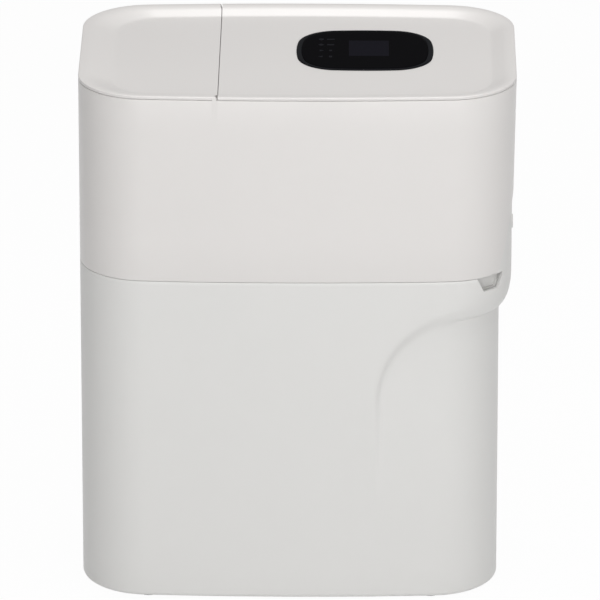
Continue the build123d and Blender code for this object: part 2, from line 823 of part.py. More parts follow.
# Injector: its nozzle in the boss, under a flanged cap
injector_cap_radius = 13
injector_cap_height = 6
with BuildPart() as injector:
    bar_y(-injector_boss_end, nozzle_y - seat_gap, injector_x, injector_z, injector_bore)
    cap_y = -injector_boss_end - injector_cap_height
    bar_y(cap_y, -injector_boss_end, injector_x, injector_z, injector_cap_radius)
    chamfer(injector.edges().filter_by(GeomType.CIRCLE).sort_by(Axis.Y)[0], overrun)
finish(injector, "injector")

# Drain elbow: out of its boss, round a corner and out through the window as a barbed spigot
drain_run_y = 68
drain_end_x = 238
barb_radius = 7.6
barb_length = 7
barb_count = 3
with BuildPart() as drain_elbow:
    bar_y(insert_y + seat_gap, drain_run_y, drain_boss_x, port_z, spigot_radius)
    with Locations((drain_boss_x, drain_run_y, port_z)):
        Sphere(spigot_radius)
    bar_x(drain_boss_x, drain_end_x, drain_run_y, port_z, spigot_radius)
    for index in range(barb_count):
        with Locations((drain_end_x - index * barb_length, drain_run_y, port_z)):
            align = (Align.CENTER, Align.CENTER, Align.MAX)
            Cone(barb_radius, spigot_radius, barb_length, rotation=(0, 90, 0), align=align)
    bar_x(drain_boss_x, drain_end_x + overrun, drain_run_y, port_z, spigot_bore, Mode.SUBTRACT)
    bar_y(insert_y, drain_run_y, drain_boss_x, port_z, spigot_bore, Mode.SUBTRACT)
finish(drain_elbow, "drain_elbow")

# Inlet and outlet connectors: pipe stubs from the bosses to the window, each with a collar at its boss
collar_radius = 17
collar_length = 5
connector_end = 241
outlet_y = port_reach_y


def connector(pipe_y):
    """A pipe stub between its boss and the window."""
    with BuildPart() as stub:
        bar_x(port_boss_end - connector_insert + seat_gap, connector_end, pipe_y, port_z, connector_radius)
        bar_x(port_boss_end, port_boss_end + collar_length, pipe_y, port_z, collar_radius)
        chamfer(stub.edges().filter_by(GeomType.CIRCLE).sort_by(Axis.X)[-1], overrun)
        bar_x(tank_x, connector_end + overrun, pipe_y, port_z, connector_bore, Mode.SUBTRACT)
    return stub


finish(connector(-port_reach_y), "inlet_connector")
finish(connector(outlet_y), "outlet_connector")

# Connector clips: spring horseshoes that grip each boss behind its collar
clip_wall = 3
clip_width = 6
clip_setback = 14
clip_mouth = 20
with BuildPart() as connector_clips:
    clip_x = port_boss_end - clip_setback
    clip_inner = port_boss_radius + seat_gap
    for side in (-1, 1):
        bar_x(clip_x, clip_x + clip_width, side * port_reach_y, port_z, clip_inner + clip_wall)
    for side in (-1, 1):
        pipe_y = side * port_reach_y
        bar_x(clip_x - overrun, clip_x + clip_width + overrun, pipe_y, port_z, clip_inner, Mode.SUBTRACT)
        block(
            (clip_x - overrun, pipe_y - clip_mouth / 2, port_z),
            (clip_x + clip_width + overrun, pipe_y + clip_mouth / 2, port_z + 2 * clip_inner),
            Mode.SUBTRACT,
        )
finish(connector_clips, "connector_clips")

# Meter turbine and its cage, in the outlet stub
turbine_x = 188
turbine_length = 8
turbine_hub_radius = 3
turbine_tip_radius = 8.8
blade_count = 6
blade_thickness = 1.1
blade_turn = 35
axle_radius = 1
cage_length = 5
cage_wall = 1
cage_gap = 0.4
with BuildPart() as turbine:
    half_turbine = turbine_length / 2
    bar_x(turbine_x - half_turbine, turbine_x + half_turbine, outlet_y, port_z, turbine_hub_radius)
    for index in range(blade_count):
        turn = 360 * index / blade_count
        with Locations(Location((turbine_x, outlet_y, port_z), (turn, 0, 0))):
            with Locations(Location((0, 0, turbine_hub_radius / 2), (0, 0, blade_turn))):
                align = (Align.CENTER, Align.CENTER, Align.MIN)
                blade_reach = turbine_tip_radius - turbine_hub_radius
                Box(turbine_length, blade_thickness, blade_reach, align=align)
    bar_x(
        turbine_x - turbine_length,
        turbine_x + turbine_length,
        outlet_y,
        port_z,
        axle_radius + running_gap,
        Mode.SUBTRACT,
    )
finish(turbine, "turbine")

with BuildPart() as turbine_cage:
    cage_x = turbine_x + half_turbine + cage_gap
    cage_high_x = cage_x + cage_length
    bar_x(cage_x, cage_high_x, outlet_y, port_z, connector_bore - fit_gap)
    cage_bore = connector_bore - cage_wall
    bar_x(cage_x - overrun, cage_high_x + overrun, outlet_y, port_z, cage_bore, Mode.SUBTRACT)
    arm_reach = connector_bore - cage_wall + cage_gap
    block(
        (cage_x, outlet_y - arm_reach, port_z - cage_wall),
        (cage_high_x, outlet_y + arm_reach, port_z + cage_wall),
    )
    block(
        (cage_x, outlet_y - cage_wall, port_z - arm_reach),
        (cage_high_x, outlet_y + cage_wall, port_z + arm_reach),
    )
    bar_x(turbine_x - half_turbine - overrun, cage_x, outlet_y, port_z, axle_radius)
finish(turbine_cage, "turbine_cage")

# Brine well: an upright tube in the salt tank, with feet-high water slots and a hole for the brine line
well_x = -50
well_inset = 60
well_radius = 42
well_wall = 2.5
well_drop = 64
water_slots = 4
water_slot_width = 12
water_slot_height = 30
elbow_radius = 7
hose_z = brine_z
well_y = half_width - well_inset
well_top = cabinet_height - well_drop
well_bore = well_radius - well_wall
with BuildPart() as brine_well:
    bar_z(well_x, well_y, tub_floor, well_top, well_radius)
    bar_z(well_x, well_y, tub_floor - overrun, well_top + overrun, well_bore, Mode.SUBTRACT)
    for index in range(water_slots):
        turn = 45 + 360 * index / water_slots
        with Locations(Location((well_x, well_y, tub_floor - overrun), (0, 0, turn))):
            with Locations((well_bore - 2 * overrun, 0, 0)):
                align = (Align.MIN, Align.CENTER, Align.MIN)
                reach = well_wall + 4 * overrun
                Box(reach, water_slot_width, water_slot_height, align=align, mode=Mode.SUBTRACT)
    bar_y(well_y - well_radius - overrun, well_y, well_x, hose_z, elbow_radius + seat_gap, Mode.SUBTRACT)
finish(brine_well, "brine_well")

cap_thickness = 3
cap_lip = 2.5
cap_skirt = 9
cap_knob_radius = 9
cap_knob_height = 8
with BuildPart() as well_cap:
    cap_low = well_top + seat_gap
    bar_z(well_x, well_y, cap_low, cap_low + cap_thickness, well_radius + cap_lip)
    bar_z(well_x, well_y, cap_low - cap_skirt, cap_low, well_bore - seat_gap)
    skirt_bore = well_bore - seat_gap - cap_lip
    bar_z(well_x, well_y, cap_low - cap_skirt - overrun, cap_low, skirt_bore, Mode.SUBTRACT)
    bar_z(well_x, well_y, cap_low, cap_low + cap_thickness + cap_knob_height, cap_knob_radius)
    chamfer(well_cap.edges().group_by(Axis.Z)[-1], overrun)
finish(well_cap, "well_cap")

# Safety valve: its foot on the well's floor, the rod's guide, and the pick-up pipe to the brine line
valve_foot_radius = 34
valve_foot_height = 9
rod_offset_y = 8
rod_radius = 2.5
guide_radius = 11
guide_top = 74
guide_bore_low = 34
pipe_offset_y = -28
pipe_radius = 5
arm_drop = 22
arm_height = 6
arm_half_width = 5
arm_low = hose_z - arm_drop
rod_y = well_y + rod_offset_y
pipe_y = well_y + pipe_offset_y
with BuildPart() as safety_valve:
    bar_z(well_x, well_y, tub_floor, tub_floor + valve_foot_height, valve_foot_radius)
    bar_z(well_x, rod_y, tub_floor, guide_top, guide_radius)
    bar_z(well_x, pipe_y, tub_floor, hose_z, pipe_radius)
    with Locations((well_x, pipe_y, hose_z)):
        Sphere(elbow_radius)
    bar_y(well_y - well_radius - elbow_radius, pipe_y, well_x, hose_z, elbow_radius)
    block(
        (well_x - arm_half_width, pipe_y, arm_low),
        (well_x + arm_half_width, rod_y + 2 * arm_half_width, arm_low + arm_height),
    )
    arm_top = arm_low + arm_height
    bar_z(well_x, rod_y, guide_bore_low, arm_top + overrun, rod_radius + running_gap, Mode.SUBTRACT)
    bar_y(
        well_y - well_radius - elbow_radius - overrun,
        pipe_y - elbow_radius,
        well_x,
        hose_z,
        hose_radius + fit_gap,
        Mode.SUBTRACT,
    )
finish(safety_valve, "safety_valve")

# Float and its rod, which slides in the safety valve's guide
float_radius = 22
float_drop = 134
float_height = 48
float_crown = 6
rod_low_gap = 12
rod_rise = 52
float_low = hose_z - float_drop
rod_low = guide_bore_low + rod_low_gap
rod_top = hose_z + rod_rise
with BuildPart() as float_rod:
    bar_z(well_x, rod_y, rod_low, rod_top, rod_radius)
finish(float_rod, "float_rod")

with BuildPart() as brine_float:
    bar_z(well_x, rod_y, float_low, float_low + float_height, float_radius)
    fillet(brine_float.edges().filter_by(GeomType.CIRCLE), float_crown)
    float_top = float_low + float_height
    bar_z(well_x, rod_y, float_low - overrun, float_top + overrun, rod_radius + fit_gap, Mode.SUBTRACT)
finish(brine_float, "brine_float")

# Brine line: from the valve's boss to the safety valve's elbow, with its nut
nut_radius = 11
nut_length = 10
hose_bend = 30
line_start_x = brine_boss_x + hose_insert - seat_gap
line_end_y = pipe_y - elbow_radius - seat_gap
with BuildPart() as brine_line:
    with BuildLine() as route:
        start, corner, end = (line_start_x, 0), (well_x, 0), (well_x, line_end_y)
        FilletPolyline(*[(x, y, brine_z) for x, y in (start, corner, end)], radius=hose_bend)
    with BuildSketch(Plane((line_start_x, 0, brine_z), z_dir=(-1, 0, 0))):
        Circle(hose_radius)
    sweep(path=route.wires()[0])
finish(brine_line, "brine_line")

with BuildPart() as brine_nut:
    with BuildSketch(Plane.YZ.offset(brine_boss_x - nut_length)):
        with Locations((0, brine_z)):
            RegularPolygon(nut_radius, 6)
            Circle(hose_radius + fit_gap, mode=Mode.SUBTRACT)
    extrude(amount=nut_length)
finish(brine_nut, "brine_nut")

# Salt platform: a slotted grid on legs, shaped round the well and the tank
grid_z = 60
grid_thickness = 4
grid_end_x = 6
grid_gap = 2
leg_radius = 7
grid_slot_length = 24
grid_slot_width = 8
grid_pitch_x = 34
grid_pitch_y = 24
grid_columns = 4
grid_rows = 10
grid_middle_x = -164
leg_shares = [(-0.888, -0.58), (-0.888, 0.58), (-0.448, -0.776), (-0.448, 0.776), (-0.12, -0.75), (-0.28, 0)]
leg_places = [(half_length * share_x, half_width * share_y) for share_x, share_y in leg_shares]
with BuildPart() as salt_grid:
    extrude(shrunk_plan(grid_z, shell_wall + grid_gap, seam_end_x), amount=grid_thickness)
    for place_x, place_y in leg_places:
        bar_z(place_x, place_y, tub_floor, grid_z, leg_radius)
    block(
        (grid_end_x, -half_width, grid_z - overrun),
        (half_length, half_width, grid_z + grid_thickness + overrun),
        Mode.SUBTRACT,
    )
    grid_top = grid_z + grid_thickness
    bar_z(well_x, well_y, grid_z - overrun, grid_top + overrun, well_radius + seat_gap, Mode.SUBTRACT)
    bar_z(tank_x, 0, grid_z - overrun, grid_top + overrun, tank_radius + grid_gap, Mode.SUBTRACT)
    with BuildSketch(Plane.XY.offset(grid_z)):
        with Locations((grid_middle_x, 0)):
            with GridLocations(grid_pitch_x, grid_pitch_y, grid_columns, grid_rows):
                Rectangle(grid_slot_length, grid_slot_width)
    extrude(amount=grid_thickness, mode=Mode.SUBTRACT)
finish(salt_grid, "salt_grid")

# Overflow elbow: through the back wall, with its flange inside and its spigot turned down
overflow_drop = 26
overflow_run = 18
overflow_tail = 16
with BuildPart() as overflow_elbow:
    corner_reach_x = overflow_x - lower_end_x + corner_radius
    wall_y = corner_y - fold_depth + sqrt(corner_radius**2 - corner_reach_x**2)
    outside_y = wall_y + overflow_run
    bar_y(wall_y - overflow_tail, outside_y, overflow_x, overflow_z, spigot_radius)
    with Locations((overflow_x, outside_y, overflow_z)):
        Sphere(spigot_radius)
    bar_z(overflow_x, outside_y, overflow_z - overflow_drop, overflow_z, spigot_radius)
finish(overflow_elbow, "overflow_elbow")

# Power inlet: a low-voltage socket in the end panel
socket_flange_radius = 8
socket_flange = 1.5
socket_depth = 16
socket_bore = 3.2
socket_pin = 1
with BuildPart() as power_inlet:
    bar_x(seam_end_x - socket_depth, seam_end_x, socket_y, socket_z, socket_radius)
    bar_x(seam_end_x, seam_end_x + socket_flange, socket_y, socket_z, socket_flange_radius)
    bore_end_x = seam_end_x + 2 * socket_flange
    bar_x(seam_end_x - socket_depth / 2, bore_end_x, socket_y, socket_z, socket_bore, Mode.SUBTRACT)
    bar_x(seam_end_x - socket_depth, seam_end_x, socket_y, socket_z, socket_pin)
finish(power_inlet, "power_inlet")
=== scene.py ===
from math import atan2, cos, hypot, pi, radians, sin, sqrt

import bmesh
import bpy
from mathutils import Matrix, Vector


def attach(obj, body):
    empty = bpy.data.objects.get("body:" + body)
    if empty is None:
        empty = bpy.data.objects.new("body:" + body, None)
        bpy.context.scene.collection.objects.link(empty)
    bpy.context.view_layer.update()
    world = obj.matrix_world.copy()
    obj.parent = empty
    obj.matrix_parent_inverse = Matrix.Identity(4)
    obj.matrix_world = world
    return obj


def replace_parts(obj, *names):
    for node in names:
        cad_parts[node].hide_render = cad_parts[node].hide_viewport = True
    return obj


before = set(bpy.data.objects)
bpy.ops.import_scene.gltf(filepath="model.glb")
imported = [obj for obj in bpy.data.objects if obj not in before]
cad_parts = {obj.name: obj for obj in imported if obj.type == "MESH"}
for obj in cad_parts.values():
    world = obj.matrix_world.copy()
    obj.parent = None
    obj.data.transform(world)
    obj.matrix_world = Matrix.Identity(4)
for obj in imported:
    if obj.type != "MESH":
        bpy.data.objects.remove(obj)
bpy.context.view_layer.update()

# Lower cabinet: one white polypropylene tub, blow moulded with a soft fold that sets its plumbing end in
# under an overhang. It holds the salt and the brine, and everything else stands in it or hangs on it.
tub_low_x, tub_seam_x, tub_lower_x = -0.250, 0.246, 0.232
tub_reach_y, tub_bow, tub_corner = 0.165, 0.010, 0.078
tub_bottom, tub_seam = 0.005, 0.396
tub_wall, tub_foot_roll, tub_foot_land, tub_lip_roll = 0.0035, 0.006, 0.02, 0.0007
fold_z, fold_x, fold_radius, fold_inset = 0.344, 0.104, 0.096, 0.0058
fold_fade_low, fold_fade_high = 0.115, 0.330
fold_side_width, fold_side_soft, fold_end_width = 0.018, 1.35, 0.040
fold_turn_x, fold_turn_width = 0.165, 0.05
outline_steps, side_share, corner_share, straight_bow = 400, 0.6, 0.28, 1e-6
foot_steps, tub_last_row = 6, 0.3905
tub_row_runs = ((0.04, 0.02, 4), (0.115, 0.0065, 28), (0.297, 0.0031, 30))


def clamped(value):
    return min(1.0, max(0.0, value))


def eased(value):
    """A smooth step from 0 to 1."""
    share = clamped(value)
    return share * share * (3 - 2 * share)


def outline_point(along, z, low_x, high_x, reach_y, bow, corner, middle_y=0.0, end_bow=straight_bow):
    """A point of a plan outline with bowed sides and round corners, by its share of the way round."""
    middle_x, half_x = (low_x + high_x) / 2, (high_x - low_x) / 2
    quarter, share = divmod(along * 4, 1)
    if quarter in (1, 3):
        share = 1 - share
    chord_x, chord_y = half_x - end_bow, reach_y - bow
    side_radius = (chord_x**2 + bow**2) / (2 * bow)
    end_radius = (chord_y**2 + end_bow**2) / (2 * end_bow)
    side_y, end_x = reach_y - side_radius, half_x - end_radius
    gap = hypot(end_x, side_y)
    to_side, to_end = side_radius - corner, end_radius - corner
    toward = (to_end**2 - to_side**2 + gap**2) / (2 * gap)
    across = sqrt(to_end**2 - toward**2)
    unit_x, unit_y = -end_x / gap, side_y / gap
    centre_x = end_x + toward * unit_x - across * unit_y
    centre_y = toward * unit_y + across * unit_x
    side_turn = atan2(centre_x, centre_y - side_y)
    end_turn = atan2(centre_y, centre_x - end_x)
    if share < side_share:
        turn = side_turn * share / side_share
        x, y = side_radius * sin(turn), side_y + side_radius * cos(turn)
    elif share < side_share + corner_share:
        turn = side_turn + (pi / 2 - end_turn - side_turn) * (share - side_share) / corner_share
        x, y = centre_x + corner * sin(turn), centre_y + corner * cos(turn)
    else:
        turn = end_turn * (1 - share) / (1 - side_share - corner_share)
        x, y = end_x + end_radius * cos(turn), end_radius * sin(turn)
    sign_x = 1 if quarter in (0, 1) else -1
    sign_y = 1 if quarter in (0, 3) else -1
    return Vector((middle_x + sign_x * x, middle_y + sign_y * y, z))


def start_ring(shape, steps, place):
    """A closed ring of edges, whose points each remember how far round they stand."""
    along = shape.verts.layers.float.new("along")
    ring = bmesh.ops.create_circle(shape, cap_ends=False, segments=steps, radius=1)
    for index, vert in enumerate(ring["verts"]):
        vert[along] = index / steps
        vert.co = place(index / steps)
    return list(shape.edges)


def next_ring(shape, edges, place):
    """Extrudes a ring into the next one, whose points go where place says."""
    along = shape.verts.layers.float["along"]
    made = bmesh.ops.extrude_edge_only(shape, edges=edges)["geom"]
    verts = {item for item in made if isinstance(item, bmesh.types.BMVert)}
    for vert in verts:
        vert.co = place(vert[along])
    rim = [item for item in made if isinstance(item, bmesh.types.BMEdge)]
    return [edge for edge in rim if edge.verts[0] in verts and edge.verts[1] in verts]


def put(name, shape, material, body, sharp=35):
    """Makes a finished shape a piece of the object, riding on its body."""
    bmesh.ops.remove_doubles(shape, verts=shape.verts, dist=1e-7)
    bmesh.ops.recalc_face_normals(shape, faces=shape.faces)
    mesh = bpy.data.meshes.new(name)
    shape.to_mesh(mesh)
    shape.free()
    mesh.materials.append(material)
    piece = bpy.data.objects.new(name, mesh)
    bpy.context.scene.collection.objects.link(piece)
    mesh.shade_smooth()
    mesh.set_sharp_from_angle(angle=radians(sharp))
    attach(piece, body)
    return piece


def settle(piece, sharp=35):
    """Keeps the result of a piece's modifiers as its own mesh."""
    seen = piece.evaluated_get(bpy.context.evaluated_depsgraph_get())
    shaped = bpy.data.meshes.new_from_object(seen)
    piece.modifiers.clear()
    piece.data = shaped
    shaped.shade_smooth()
    shaped.set_sharp_from_angle(angle=radians(sharp))


def give_wall(piece, thickness):
    """Turns a skin into a wall of even thickness, which grows inwards."""
    wall = piece.modifiers.new("wall", "SOLIDIFY")
    wall.thickness = thickness
    wall.offset = -1
    settle(piece)


def cut_with(piece, cutter, operation="DIFFERENCE"):
    """Cuts a loose shape out of a piece, or keeps only what is inside it, and drops the cutter."""
    mesh = bpy.data.meshes.new("cutter")
    bmesh.ops.recalc_face_normals(cutter, faces=cutter.faces)
    cutter.to_mesh(mesh)
    cutter.free()
    tool = bpy.data.objects.new("cutter", mesh)
    bpy.context.scene.collection.objects.link(tool)
    saw = piece.modifiers.new("saw", "BOOLEAN")
    saw.operation = operation
    saw.solver = "EXACT"
    saw.object = tool
    settle(piece)
    bpy.data.objects.remove(tool)


def moulded(name, colour, roughness, grain=900, relief=0.02, mottle=0.012, coat=0.0):
    """Moulded plastic: a slight cloudiness in its colour and gloss, and a fine skin texture."""
    material = bpy.data.materials.new(name)
    material.use_nodes = True
    nodes, links = material.node_tree.nodes, material.node_tree.links
    skin = nodes["Principled BSDF"]
    skin.inputs["Coat Weight"].default_value = coat
    skin.inputs["Coat Roughness"].default_value = 0.12
    place = nodes.new("ShaderNodeTexCoord")
    clouds = nodes.new("ShaderNodeTexNoise")
    clouds.inputs["Scale"].default_value = 9
    clouds.inputs["Detail"].default_value = 4
    links.new(place.outputs["Object"], clouds.inputs["Vector"])
    tint = nodes.new("ShaderNodeMix")
    tint.data_type = "RGBA"
    tint.inputs["A"].default_value = (*[c * (1 - mottle) for c in colour], 1)
    tint.inputs["B"].default_value = (*[min(1, c * (1 + mottle)) for c in colour], 1)
    links.new(clouds.outputs["Fac"], tint.inputs["Factor"])
    links.new(tint.outputs["Result"], skin.inputs["Base Color"])
    gloss = nodes.new("ShaderNodeMapRange")
    gloss.inputs["To Min"].default_value = roughness * 0.88
    gloss.inputs["To Max"].default_value = roughness * 1.12
    links.new(clouds.outputs["Fac"], gloss.inputs["Value"])
    links.new(gloss.outputs["Result"], skin.inputs["Roughness"])
    pores = nodes.new("ShaderNodeTexNoise")
    pores.inputs["Scale"].default_value = grain
    pores.inputs["Detail"].default_value = 3
    links.new(place.outputs["Object"], pores.inputs["Vector"])
    bump = nodes.new("ShaderNodeBump")
    bump.inputs["Strength"].default_value = relief
    bump.inputs["Distance"].default_value = 0.0005
    links.new(pores.outputs["Fac"], bump.inputs["Height"])
    links.new(bump.outputs["Normal"], skin.inputs["Normal"])
    return material


cool_white = moulded("cool_white", (0.72, 0.715, 0.70), 0.36, grain=700, relief=0.03)


def recess_share(x, z):
    """How far a point of the tub's wall has gone in past the fold, from 0 to 1."""
    centre_x, centre_z = fold_x + fold_radius, fold_z - fold_radius
    if x < centre_x and z > centre_z:
        inside = fold_radius - hypot(x - centre_x, z - centre_z)
    else:
        inside = min(x - fold_x, fold_z - z)
    toward_end = eased((x - fold_turn_x) / fold_turn_width)
    soft = eased((inside + fold_side_width) / (fold_side_width * fold_side_soft))
    sweep = clamped((inside + fold_end_width) / fold_end_width)
    round_under = 1 - sqrt(1 - sweep * sweep)
    return soft + (round_under - soft) * toward_end


def tub_point(along, z, inset=0.0):
    """A point of the tub's outer skin, with its fold and its set-in end."""
    low_x, reach_y, corner = tub_low_x + inset, tub_reach_y - inset, tub_corner - inset
    full = outline_point(along, z, low_x, tub_seam_x - inset, reach_y, tub_bow, corner)
    side = fold_inset * eased((z - fold_fade_low) / (fold_fade_high - fold_fade_low))
    deep = outline_point(along, z, low_x, tub_lower_x - inset, tub_reach_y - side - inset, tub_bow, corner)
    return full.lerp(deep, recess_share(full.x, z))


tub = bmesh.new()
rim = start_ring(tub, outline_steps, lambda a: tub_point(a, tub_bottom, tub_foot_roll + tub_foot_land))
for step in range(foot_steps + 1):
    turn = step / foot_steps * pi / 2
    inset, rise = tub_foot_roll * (1 - sin(turn)), tub_bottom + tub_foot_roll * (1 - cos(turn))
    rim = next_ring(tub, rim, lambda a, z=rise, i=inset: tub_point(a, z, i))
rows = [low + gap * step for low, gap, count in tub_row_runs for step in range(count)]
for row in (*rows, tub_last_row, tub_seam - tub_lip_roll):
    rim = next_ring(tub, rim, lambda a, z=row: tub_point(a, z))
for inset, z in ((tub_lip_roll * 0.3, tub_seam - tub_lip_roll * 0.3), (tub_lip_roll, tub_seam)):
    rim = next_ring(tub, rim, lambda a, z=z, i=inset: tub_point(a, z, i))
bottom = [edge for edge in tub.edges if edge.is_boundary and edge.verts[0].co.z < tub_bottom + 0.001]
bmesh.ops.edgeloop_fill(tub, edges=bottom)
tub_shell = put("tub_shell", tub, cool_white, "base", sharp=50)
give_wall(tub_shell, tub_wall)

# Finger notches: a scoop with leaning ends under the shroud's edge, at each corner of the plumbing end, for
# the fingers that lift the shroud off. Each is moulded with the tub and has its own walls inside it.
notch_turn, notch_top, notch_foot = radians(48), 0.042, 0.023
notch_deep, notch_high, notch_wall = 0.0080, 0.0175, 0.0025
pocket_reach, pocket_rise = -0.0036, -0.0003
notch_past_face, notch_past_seam, notch_past_tongue = 0.02, 0.004, 0.008
corner_x, corner_y = tub_seam_x - tub_corner, tub_reach_y - tub_bow - tub_corner


def scoop(side, low_reach, high_reach, rise, grow=0.0):
    """The notch's form between two distances from the corner's face, grown all round by a wall."""
    shape = bmesh.new()
    bmesh.ops.create_cube(shape, size=1)
    turn = side * notch_turn
    for vert in shape.verts:
        level = rise if vert.co.z > 0 else -notch_high - grow
        half = (notch_top + (notch_top - notch_foot) * level / notch_high) / 2 + grow
        along = half if vert.co.y > 0 else -half
        reach = tub_corner + (high_reach if vert.co.x > 0 else low_reach)
        vert.co = (
            corner_x + reach * cos(turn) - along * sin(turn),
            side * corner_y + reach * sin(turn) + along * cos(turn),
            tub_seam + level,
        )
    return shape


for side, name in ((-1, "front_notch"), (1, "back_notch")):
    block = scoop(side, -notch_deep - notch_wall, pocket_reach, pocket_rise, notch_wall)
    pocket = put(name, block, cool_white, "base")
    for piece in (pocket, tub_shell):
        cut_with(piece, scoop(side, -notch_deep, notch_past_face, notch_past_seam))
    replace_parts(pocket, "cabinet")

# End panel: the part of the tub that rises behind the shroud as an arch. It is moulded in one with the tub,
# with a rounded window for the pipes and a hole for the power inlet.
arch_low_half, arch_top_half, arch_top, arch_corner = 0.132, 0.092, 0.486, 0.0187
arch_foot, arch_low_x, arch_high_x = tub_seam - 0.006, 0.18, 0.27
panel_wall, panel_steps, panel_spare, panel_from_x = 0.003, 9, 0.004, 0.172
window_y, window_z, window_corner, window_low_x = (-0.058, 0.084), (0.408, 0.466), 0.012, 0.22
socket_y, socket_z, socket_hole, socket_x, socket_deep = -0.069, 0.437, 0.0061, 0.245, 0.04


def push_out(shape, way):
    """Draws a flat shape out into a solid."""
    made = bmesh.ops.extrude_face_region(shape, geom=list(shape.faces))["geom"]
    far = [item for item in made if isinstance(item, bmesh.types.BMVert)]
    bmesh.ops.translate(shape, vec=way, verts=far)


def rounded_slab(corners, radius, way, rounded=(0, 1, 2, 3), segments=8):
    """A flat outline with rounded corners, drawn out into a solid."""
    shape = bmesh.new()
    verts = [shape.verts.new(corner) for corner in corners]
    shape.faces.new(verts)
    bmesh.ops.bevel(
        shape,
        geom=[verts[index] for index in rounded],
        offset=radius,
        segments=segments,
        profile=0.5,
        affect="VERTICES",
        material=-1,
    )
    push_out(shape, way)
    return shape


def four_corners(first, second):
    """The corners of an oblong between two pairs of limits, in order."""
    return [(first[0], second[0]), (first[1], second[0]), (first[1], second[1]), (first[0], second[1])]


def arch_prism(grow, low_x):
    """The arch's outline, grown by a gap, as a solid that runs along X past the end."""
    low_y, high_y, top = arch_low_half + grow, arch_top_half + grow, arch_top + grow
    outline = ((-low_y, arch_foot), (-high_y, top), (high_y, top), (low_y, arch_foot))
    corners = [(low_x, y, z) for y, z in outline]
    return rounded_slab(corners, arch_corner, (arch_high_x - low_x, 0, 0), rounded=(1, 2))


panel = bmesh.new()
rim = start_ring(panel, outline_steps, lambda a: tub_point(a, tub_seam - tub_lip_roll))
for step in range(1, panel_steps + 1):
    z = tub_seam - tub_lip_roll + (arch_top + panel_spare - tub_seam) * step / panel_steps
    rim = next_ring(panel, rim, lambda a, z=z: tub_point(a, z))
far_side = [face for face in panel.faces if face.calc_center_median().x < panel_from_x]
bmesh.ops.delete(panel, geom=far_side, context="FACES")
end_panel = put("end_panel", panel, cool_white, "base", sharp=50)
give_wall(end_panel, panel_wall)
cut_with(end_panel, arch_prism(0.0, arch_low_x), "INTERSECT")
window = [(window_low_x, y, z) for y, z in four_corners(window_y, window_z)]
cut_with(end_panel, rounded_slab(window, window_corner, (arch_high_x - window_low_x, 0, 0)))
hole = bmesh.new()
bmesh.ops.create_cone(
    hole, cap_ends=True, segments=32, radius1=socket_hole, radius2=socket_hole, depth=socket_deep
)
for vert in hole.verts:
    vert.co = (vert.co.z + socket_x, vert.co.x + socket_y, vert.co.y + socket_z)
cut_with(end_panel, hole)

# Tongue: the ring that stands up inside the tub's top edge and centres the shroud. It is moulded with the
# tub, and the finger notches break it.
tongue_out, tongue_wall, tongue_low, tongue_high = 0.0038, 0.0025, 0.386, 0.403


def tongue_point(along, z):
    low_x, high_x, reach_y = tub_low_x + tongue_out, tub_seam_x - tongue_out, tub_reach_y - tongue_out
    return outline_point(along, z, low_x, high_x, reach_y, tub_bow, tub_corner - tongue_out)


tongue = bmesh.new()
rim = start_ring(tongue, outline_steps, lambda a: tongue_point(a, tongue_low))
rim = next_ring(tongue, rim, lambda a: tongue_point(a, tongue_high))
tongue_ring = put("tongue_ring", tongue, cool_white, "base")
give_wall(tongue_ring, tongue_wall)
for side in (-1, 1):
    cut_with(tongue_ring, scoop(side, -notch_deep, notch_past_face, notch_past_tongue))
for piece in (tub_shell, end_panel, tongue_ring):
    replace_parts(piece, "cabinet")

# Feet: four glides of black rubber, fixed to the underside of the tub. They let it slide into its place and
# keep its base off a wet floor.
foot_rubber = moulded("foot_rubber", (0.018, 0.018, 0.019), 0.62, grain=500, relief=0.15, mottle=0.15)


def dress(material, *names):
    """Gives a modelled piece its finish."""
    for name in names:
        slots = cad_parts[name].data.materials
        slots.clear()
        slots.append(material)


dress(foot_rubber, "feet")

# Salt platform and brine well: milky polypropylene mouldings. The slotted grid stands on legs and holds the
# salt above the brine, and the capped well keeps the salt away from the float and its valve.
milky_plastic = moulded("milky_plastic", (0.66, 0.66, 0.64), 0.42, grain=600, relief=0.05)
dress(milky_plastic, "salt_grid", "brine_well", "well_cap", "safety_valve")

# Float: a sealed orange drum on an acetal rod. It slides up and down in the brine well with the level of
# the brine and shuts the valve at the well's foot.
orange_moulding = moulded("orange_moulding", (0.62, 0.13, 0.015), 0.4, grain=500, relief=0.05, mottle=0.06)
acetal = moulded("acetal", (0.70, 0.69, 0.65), 0.38, grain=500, relief=0.04)
dress(orange_moulding, "brine_float")
dress(acetal, "float_rod")

# Overflow and power inlet: a milky elbow that leads spilt brine out through the tub's wall, and the white
# socket for the low voltage plug, let into the end panel.
dress(milky_plastic, "overflow_elbow")
dress(cool_white, "power_inlet")

# Resin tank: a pressure vessel wound from glass fibre under a dark lacquer, stood in a black moulded boot.
# The amber resin beads fill it round a milky riser tube, with an acetal strainer at each end.
black_moulding = moulded("black_moulding", (0.014, 0.014, 0.015), 0.48, grain=800, relief=0.12, mottle=0.1)
amber_resin = moulded("amber_resin", (0.42, 0.19, 0.045), 0.5, grain=1400, relief=0.8, mottle=0.3)


